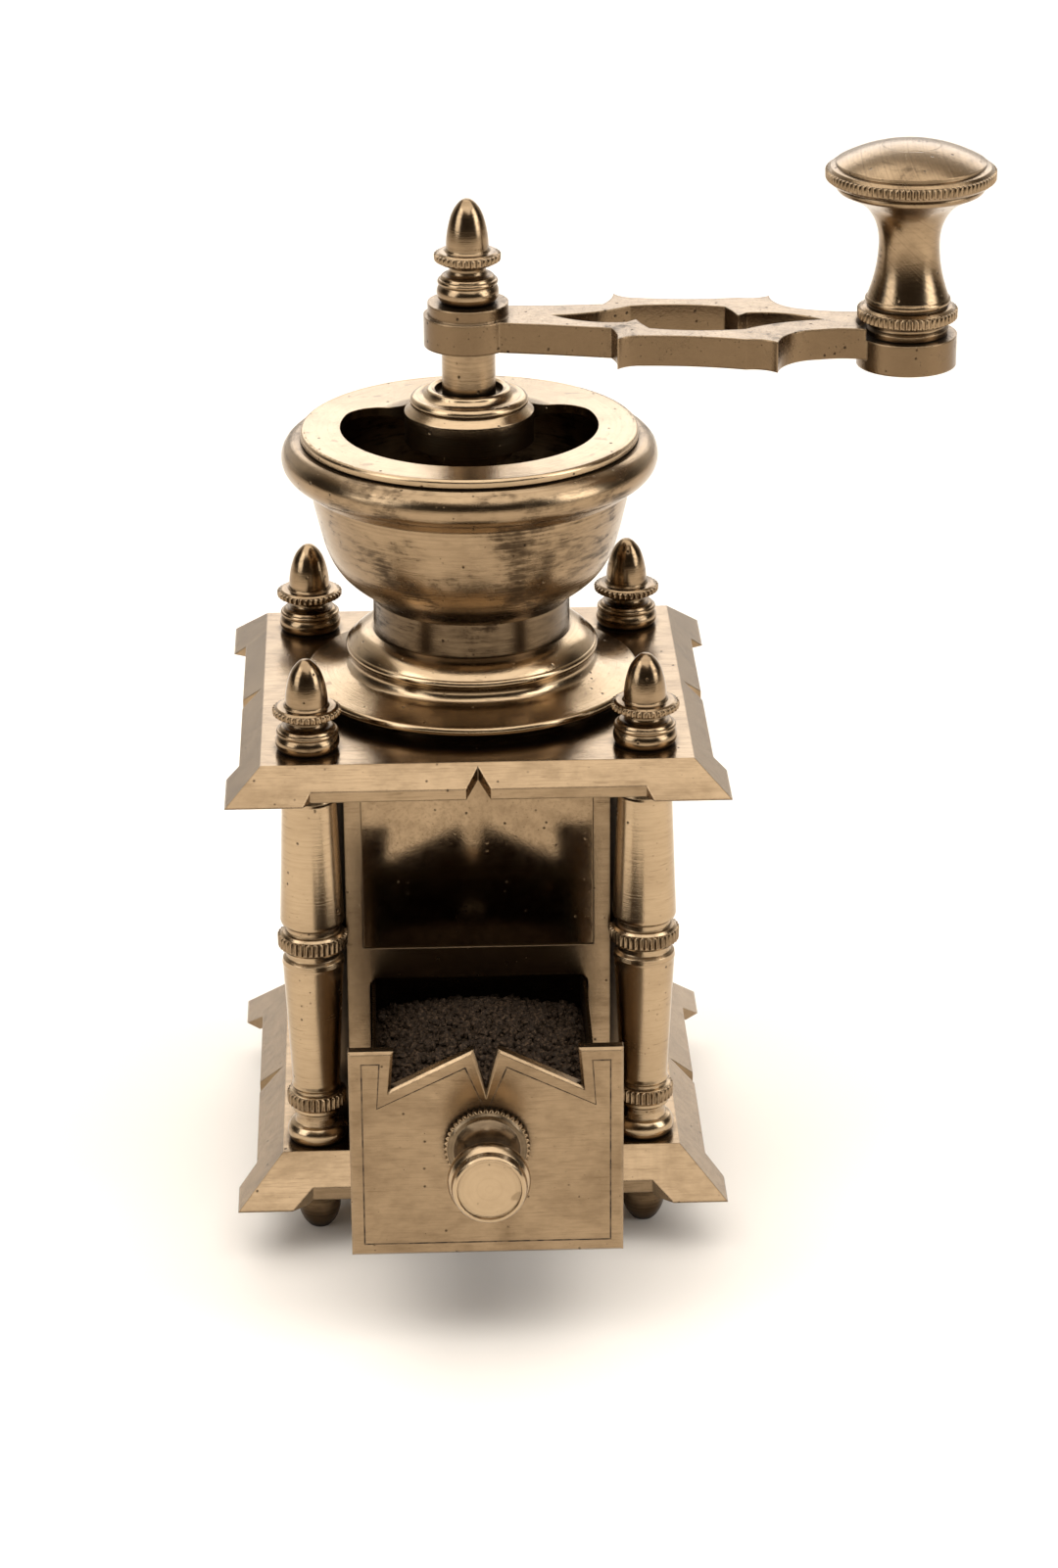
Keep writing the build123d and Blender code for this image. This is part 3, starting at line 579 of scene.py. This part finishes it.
class MILL_OT_hopper(bpy.types.Operator):
    """Finish the hopper's foot, bowl, lid and bush"""

    bl_idname = "mill.hopper"
    bl_label = "Hopper"

    def execute(self, context):
        tone = colours()
        foot = aged_metal("hopper_foot_brass", tone.pale, tone.warm, "turned", polish=0.14, stained=0.35,
                          pitted=0.25, grime_and_shade_reach=5.0)
        # The bowl has painted shade on its inner faces and towards its neck.
        bowl = aged_metal("hopper_bowl_brass", tone.warm, tone.brown, "turned", polish=0.2, stained=0.78,
                          pitted=0.15, grime_and_shade_reach=4.0, painted_inner_shade=True, painted_shade_along=(2, 158.0, 149.0))
        lid = aged_metal("hopper_lid_brass", tone.pale, tone.warm, "turned", polish=0.2, stained=0.15,
                         pitted=0.15, grime_and_shade_reach=3.0)
        clothe(foot, "hopper_foot")
        clothe(bowl, "hopper_bowl")
        clothe(lid, "hopper_lid", "spindle_bush")
        return {"FINISHED"}


class MILL_OT_burrs(bpy.types.Operator):
    """Finish the burrs, their bridge and the grind screw"""

    bl_idname = "mill.burrs"
    bl_label = "Burrs"

    def execute(self, context):
        tone = colours()
        iron = aged_metal("burr_iron", tone.iron, tone.tarnish, "cast", polish=0.45, stained=0.5,
                          pitted=0.6, relief=0.06)
        steel = aged_metal("screw_steel", tone.steel, tone.iron, "turned", polish=0.3, stained=0.4)
        clothe(iron, "burr_ring", "burr_cone", "bridge")
        clothe(steel, "clamp_screws", "bridge_screws", "adjusting_screw", "lock_nut", "thrust_cup", "cone_pin",
               "drawer_knob_screw")
        return {"FINISHED"}


class MILL_OT_crank(bpy.types.Operator):
    """Finish the spindle, the open-work arm, the acorn nut and the turning knob"""

    bl_idname = "mill.crank"
    bl_label = "Crank"

    def execute(self, context):
        tone = colours()
        # The arm's faces that don't look up get painted shade.
        arm = aged_metal("arm_brass", tone.warm, tone.brown, "cast", polish=0.24, stained=0.55,
                         pitted=0.35, relief=0.05, edge=0.7, grime_and_shade_reach=4.0, painted_side_shade=0.92)
        turned = aged_metal("spindle_brass", tone.warm, tone.brown, "turned", polish=0.18, stained=0.5,
                            pitted=0.2, grime_and_shade_reach=4.0)
        clothe(arm, "crank_arm")
        clothe(turned, "spindle", "crank_nut", "handle_knob", "knob_pin")
        return {"FINISHED"}


class MILL_OT_drawer(bpy.types.Operator):
    """Finish the drawer's tray, front, rivets and knob"""

    bl_idname = "mill.drawer"
    bl_label = "Drawer"

    def execute(self, context):
        tone = colours()
        low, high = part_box("drawer_knob")
        front = aged_metal("drawer_front_brass", tone.warm, tone.brown, "brushed", polish=0.24, stained=0.16,
                           pitted=0.12, relief=0.015, edge=0.35, grime_and_shade_reach=7.0)
        tray = aged_metal("tray_brass", tone.brown, tone.tarnish, "brushed", polish=0.28, stained=0.6,
                          pitted=0.3)
        # The knob gets painted shade towards its waist at the drawer front, and deep-reaching painted shade in
        # its corners.
        knob = aged_metal("drawer_knob_brass", tone.pale, tone.warm, "turned_y", polish=0.16, stained=0.35,
                          pitted=0.1, height=(low.z + high.z) / 2 / MM, grime_and_shade_reach=9.0,
                          painted_shade_along=(1, high.y / MM - 17.0, high.y / MM - 10.0))
        clothe(front, "drawer_front")
        clothe(tray, "drawer_tray", "drawer_rivets")
        clothe(knob, "drawer_knob")
        return {"FINISHED"}


# ---------------------------------------------------------------- operators: pieces
class MILL_OT_column_bands(bpy.types.Operator):
    """Cut the knurled bands of the four columns"""

    bl_idname = "mill.column_bands"
    bl_label = "Column bands"

    def execute(self, context):
        for place in COLUMNS:
            cut_bands("column_bands_" + place, COLUMN_BANDS, upright("column_" + place), "mill")
        return {"FINISHED"}


class MILL_OT_nut_bands(bpy.types.Operator):
    """Cut the knurled flanges of the finials and the crank nut"""

    bl_idname = "mill.nut_bands"
    bl_label = "Nut bands"

    def execute(self, context):
        for place in COLUMNS:
            cut_bands("finial_band_" + place, FINIAL_BANDS, upright("finial_" + place), "mill")
        cut_bands("crank_nut_band", CRANK_NUT_BANDS, upright("crank_nut"), "crank")
        return {"FINISHED"}


class MILL_OT_knob_bands(bpy.types.Operator):
    """Cut the knurled rims of the turning knob"""

    bl_idname = "mill.knob_bands"
    bl_label = "Knob bands"

    def execute(self, context):
        turn = upright("handle_knob") @ Matrix.Translation((0, 0, -KNOB_GAP))
        cut_bands("handle_knob_bands", HANDLE_KNOB_BANDS, turn, "knob")
        return {"FINISHED"}


class MILL_OT_drawer_knob_band(bpy.types.Operator):
    """Cut the knurled collar of the drawer knob"""

    bl_idname = "mill.drawer_knob_band"
    bl_label = "Drawer knob band"

    def execute(self, context):
        low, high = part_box("drawer_knob")
        centre = Vector(((low.x + high.x) / 2, high.y, (low.z + high.z) / 2))
        turn = Matrix.Translation(centre) @ Matrix.Rotation(math.radians(90), 4, "X")
        cut_bands("drawer_knob_band", DRAWER_KNOB_BANDS, turn, "drawer")
        return {"FINISHED"}


def inset_outline(points, inset, longest):
    """The outline moved inwards. At a sharp corner it is moved no further than longest."""
    moved = []
    for before, here, after in zip(points[-1:] + points[:-1], points, points[1:] + points[:1]):
        first = (here - before).normalized()
        second = (after - here).normalized()
        bisector = Vector((-first.y - second.y, first.x + second.x)).normalized()
        reach = inset / max(bisector.dot(Vector((-first.y, first.x))), 0.05)
        moved.append(here + bisector * min(reach, longest))
    return moved


TAB_EDGE = 21.2 * MM        # inner edge of a corner tab, from the drawer front's middle
TAB_FOOT = 22.0 * MM        # foot of a corner tab, from the middle
TAB_DROP = 9.6 * MM         # foot of a corner tab, below its top
NOTCH_EDGE = 2.9 * MM       # edge of the middle notch, from the middle
NOTCH_DROP = 10.2 * MM      # bottom of the middle notch, below the tabs' top
CORNER_REACH = 1.9          # how many insets the border may move at a sharp corner
LINE_PROUD = 0.03 * MM
LINE_DEPTH = 0.2 * MM


class MILL_OT_border(bpy.types.Operator):
    """Engrave the border line that follows the drawer front's outline"""

    bl_idname = "mill.border"
    bl_label = "Border"

    def execute(self, context):
        low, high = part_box("drawer_front")
        side = high.x
        right = [(side, low.z), (side, high.z), (TAB_EDGE, high.z), (TAB_FOOT, high.z - TAB_DROP),
                 (NOTCH_EDGE, high.z)]
        middle = (0.0, high.z - NOTCH_DROP)
        outline = [Vector(point) for point in right]
        outline.append(Vector(middle))
        outline.extend(Vector((-x, z)) for x, z in reversed(right))
        inset = trim().border_inset
        half = trim().border_width / 2
        outer = inset_outline(outline, inset - half, CORNER_REACH * inset - half)
        inner = inset_outline(outline, inset + half, CORNER_REACH * inset + half)
        face = low.y
        depths = (face - LINE_PROUD, face + LINE_DEPTH)
        made = bmesh.new()
        loops = []
        for ring, depth in ((outer, depths[0]), (inner, depths[0]), (inner, depths[1]), (outer, depths[1])):
            loops.append([made.verts.new((point.x, depth, point.y)) for point in ring])
        count = len(outer)
        for ring, following in zip(loops, loops[1:] + loops[:1]):
            for index in range(count):
                ahead = (index + 1) % count
                made.faces.new((ring[index], ring[ahead], following[ahead], following[index]))
        settle("drawer_border_line", made, engraved_dirt("border_dirt"), "drawer")
        return {"FINISHED"}


HEAP_BEHIND = 5.5 * MM      # the heap's peak behind the middle of the tray
HEAP_CROWN = 14.0 * MM      # radius of its rounded crown
HEAP_SLOPE = 0.3            # fall of its even slope
HEAP_SINK = 0.7 * MM        # its body under the level of the loose grains
HEAP_RIPPLE = 0.35          # millimetres up or down of each point of its body
HEAP_ACROSS = 44            # steps of its body's net across and along the tray
HEAP_ALONG = 58


def heap_height(x, y, peak, centre):
    """Height of the coffee at a place in the tray: a rounded crown and an even slope."""
    distance = math.hypot(x, y - centre)
    if distance < HEAP_CROWN:
        return peak - HEAP_SLOPE * distance * distance / (2 * HEAP_CROWN)
    return peak - HEAP_SLOPE * (distance - HEAP_CROWN / 2)


def heap_body(made, low, high, centre, draws):
    """The heap's body: a rippled top, four sides and a floor."""
    grid = []
    for row in range(HEAP_ALONG + 1):
        y = low.y + (high.y - low.y) * row / HEAP_ALONG
        line = []
        for column in range(HEAP_ACROSS + 1):
            x = low.x + (high.x - low.x) * column / HEAP_ACROSS
            ripple = draws.uniform(-HEAP_RIPPLE, HEAP_RIPPLE) * MM
            line.append(made.verts.new((x, y, heap_height(x, y, high.z, centre) - HEAP_SINK + ripple)))
        grid.append(line)
    for row in range(HEAP_ALONG):
        for column in range(HEAP_ACROSS):
            made.faces.new((grid[row][column], grid[row][column + 1],
                            grid[row + 1][column + 1], grid[row + 1][column]))
    right = [line[-1] for line in grid[1:]]
    left = [line[0] for line in grid[-2:0:-1]]
    rim = grid[0] + right + grid[-1][-2::-1] + left
    floor = [made.verts.new((vertex.co.x, vertex.co.y, low.z)) for vertex in rim]
    for index in range(len(rim)):
        ahead = (index + 1) % len(rim)
        made.faces.new((rim[index], floor[index], floor[ahead], rim[ahead]))
    made.faces.new(floor)


def loose_grains(made, low, high, centre, draws):
    """Chipped grains of uneven size, scattered over the heap."""
    grain = bmesh.new()
    bmesh.ops.create_icosphere(grain, subdivisions=1, radius=1.0)
    corners = [vertex.co.copy() for vertex in grain.verts]
    faces = [[vertex.index for vertex in face.verts] for face in grain.faces]
    grain.free()
    size = trim().grain_size
    margin = 1.3 * size
    for _ in range(trim().grain_count):
        x = draws.uniform(low.x + margin, high.x - margin)
        y = draws.uniform(low.y + margin, high.y - margin)
        scale = size * draws.uniform(0.55, 1.35)
        lift = draws.uniform(-0.9, 0.45) * scale
        stretch = Vector(draws.uniform(0.55, 1.2, 3))
        spin = Matrix.Rotation(draws.uniform(0, 2 * math.pi), 3, Vector(draws.normal(size=3)))
        centre_point = Vector((x, y, heap_height(x, y, high.z, centre) + lift))
        chips = draws.uniform(0.72, 1.12, len(corners))
        verts = []
        for corner, chip in zip(corners, chips):
            verts.append(made.verts.new(centre_point + spin @ (corner * stretch) * (scale * chip)))
        for face in faces:
            made.faces.new([verts[index] for index in face])


class MILL_OT_coffee(bpy.types.Operator):
    """Heap ground coffee in the drawer, grain by grain"""

    bl_idname = "mill.coffee"
    bl_label = "Coffee"

    def execute(self, context):
        low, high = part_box("coffee_grounds")
        centre = (low.y + high.y) / 2 + HEAP_BEHIND
        draws = np.random.default_rng(7)
        made = bmesh.new()
        heap_body(made, low, high, centre, draws)
        loose_grains(made, low, high, centre, draws)
        heap = settle("coffee_heap", made, ground_coffee("coffee"), "drawer", smooth_angle=25)
        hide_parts("coffee_grounds")
        return {"FINISHED"}


# ---------------------------------------------------------------- studio
# Lamps: name, place, width, height, and share of the overhead lamp's power.
LAMPS = (
    ("lamp_top", (-0.1, -0.2, 2.4), 4.0, 3.4, 1.0),
    ("lamp_left", (-1.5, -0.8, 1.0), 1.0, 1.5, 0.20),
    ("lamp_right", (1.5, -0.6, 0.9), 0.8, 1.4, 0.22),
    ("lamp_back", (0.2, 2.0, 1.1), 2.2, 0.9, 0.16),
)
LAMP_TARGET = (0.0, 0.0, 0.15)
ROOM_STOPS = ((0.0, 0.10), (0.08, 0.07), (0.2, 0.04), (0.5, 0.06), (0.8, 0.45), (1.0, 0.6))
ROOM_TINT = (1.0, 0.80, 0.58)           # the room's light from below to above is this tint
ROOM_BACK = (0.92, 0.86, 0.78, 1.0)     # the pale wall behind the mill
ROOM_BACK_FROM = 0.35
ROOM_BACK_TO = 0.85


def soft_lamp(name, place, target, width, height, power):
    """A large flat lamp that faces a point."""
    lamp = bpy.data.lights.new(name, "AREA")
    lamp.shape = "RECTANGLE"
    lamp.size = width
    lamp.size_y = height
    lamp.energy = power
    made = bpy.data.objects.new(name, lamp)
    made.location = place
    made.rotation_euler = (Vector(target) - Vector(place)).to_track_quat("-Z", "Y").to_euler()
    bpy.context.scene.collection.objects.link(made)


def lay_floor(radius):
    """The pale floor."""
    made = bmesh.new()
    bmesh.ops.create_grid(made, x_segments=8, y_segments=8, size=radius)
    mesh = bpy.data.meshes.new("floor")
    made.to_mesh(mesh)
    made.free()
    floor = bpy.data.objects.new("floor", mesh)
    mesh.materials.append(floor_paint("floor_paint"))
    bpy.context.scene.collection.objects.link(floor)


def paint_room():
    """The light of the room: dim at the mill's level, brighter overhead, pale behind."""
    world = bpy.data.worlds.new("room")
    world.use_nodes = True
    tree = world.node_tree
    tree.nodes.clear()
    direction = tree.nodes.new("ShaderNodeTexCoord")
    parts = tree.nodes.new("ShaderNodeSeparateXYZ")
    tree.links.new(direction.outputs["Generated"], parts.inputs[0])
    ramp = tree.nodes.new("ShaderNodeValToRGB")
    elements = ramp.color_ramp.elements
    while len(elements) < len(ROOM_STOPS):
        elements.new(0.5)
    for element, (position, grey) in zip(elements, ROOM_STOPS):
        element.position = position
        element.color = (*(grey * part for part in ROOM_TINT), 1.0)
    tree.links.new(parts.outputs[2], ramp.inputs[0])
    behind = tree.nodes.new("ShaderNodeMapRange")
    behind.interpolation_type = "SMOOTHSTEP"
    behind.inputs["From Min"].default_value = ROOM_BACK_FROM
    behind.inputs["From Max"].default_value = ROOM_BACK_TO
    tree.links.new(parts.outputs[1], behind.inputs["Value"])
    room = tree.nodes.new("ShaderNodeMix")
    room.data_type = "RGBA"
    room.inputs[7].default_value = ROOM_BACK
    tree.links.new(behind.outputs[0], room.inputs[0])
    tree.links.new(ramp.outputs[0], room.inputs[6])
    background = tree.nodes.new("ShaderNodeBackground")
    tree.links.new(room.outputs[2], background.inputs[0])
    output = tree.nodes.new("ShaderNodeOutputWorld")
    tree.links.new(background.outputs[0], output.inputs[0])
    bpy.context.scene.world = world
    bpy.context.scene.view_settings.view_transform = "Standard"


def stand_camera(settings):
    """The camera, on a picture 36 mm high."""
    camera = bpy.data.cameras.new("camera")
    camera.sensor_fit = "VERTICAL"
    camera.sensor_height = 36.0
    camera.lens = settings.lens
    camera.clip_end = 50.0
    viewer = bpy.data.objects.new("camera", camera)
    viewer.location = settings.camera_place
    viewer.rotation_euler = settings.camera_turn
    bpy.context.scene.collection.objects.link(viewer)
    bpy.context.scene.camera = viewer


class MILL_OT_studio(bpy.types.Operator):
    """Lay the floor and set up the lamps, the room and the camera"""

    bl_idname = "mill.studio"
    bl_label = "Studio"

    def execute(self, context):
        settings = studio()
        lay_floor(settings.floor_radius)
        for name, place, width, height, share in LAMPS:
            soft_lamp(name, place, LAMP_TARGET, width, height, settings.lamp_power * share)
        paint_room()
        stand_camera(settings)
        return {"FINISHED"}


OPERATORS = (
    MILL_OT_plates, MILL_OT_columns, MILL_OT_walls, MILL_OT_hopper, MILL_OT_burrs, MILL_OT_crank,
    MILL_OT_drawer, MILL_OT_column_bands, MILL_OT_nut_bands, MILL_OT_knob_bands,
    MILL_OT_drawer_knob_band, MILL_OT_border, MILL_OT_coffee, MILL_OT_studio,
)


class MILL_PT_panel(bpy.types.Panel):
    """The mill's settings and steps"""

    bl_idname = "MILL_PT_panel"
    bl_label = "Box coffee mill"
    bl_space_type = "VIEW_3D"
    bl_region_type = "UI"
    bl_category = "Mill"

    def draw(self, context):
        for operator in OPERATORS:
            self.layout.operator(operator.bl_idname)


GROUPS = {"mill_colours": MillColours, "mill_trim": MillTrim, "mill_studio": MillStudio}


def register():
    """Register the settings, the steps and the panel."""
    for group in GROUPS.values():
        bpy.utils.register_class(group)
    for operator in OPERATORS:
        bpy.utils.register_class(operator)
    bpy.utils.register_class(MILL_PT_panel)
    for name, group in GROUPS.items():
        setattr(bpy.types.Scene, name, PointerProperty(type=group))


def unregister():
    """Take the panel, the steps and the settings away again."""
    for name in GROUPS:
        delattr(bpy.types.Scene, name)
    bpy.utils.unregister_class(MILL_PT_panel)
    for operator in reversed(OPERATORS):
        bpy.utils.unregister_class(operator)
    for group in reversed(GROUPS.values()):
        bpy.utils.unregister_class(group)


def main():
    """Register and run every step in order."""
    register()
    for operator in OPERATORS:
        group, step = operator.bl_idname.split(".")
        getattr(getattr(bpy.ops, group), step)()


if __name__ == "__main__":
    main()
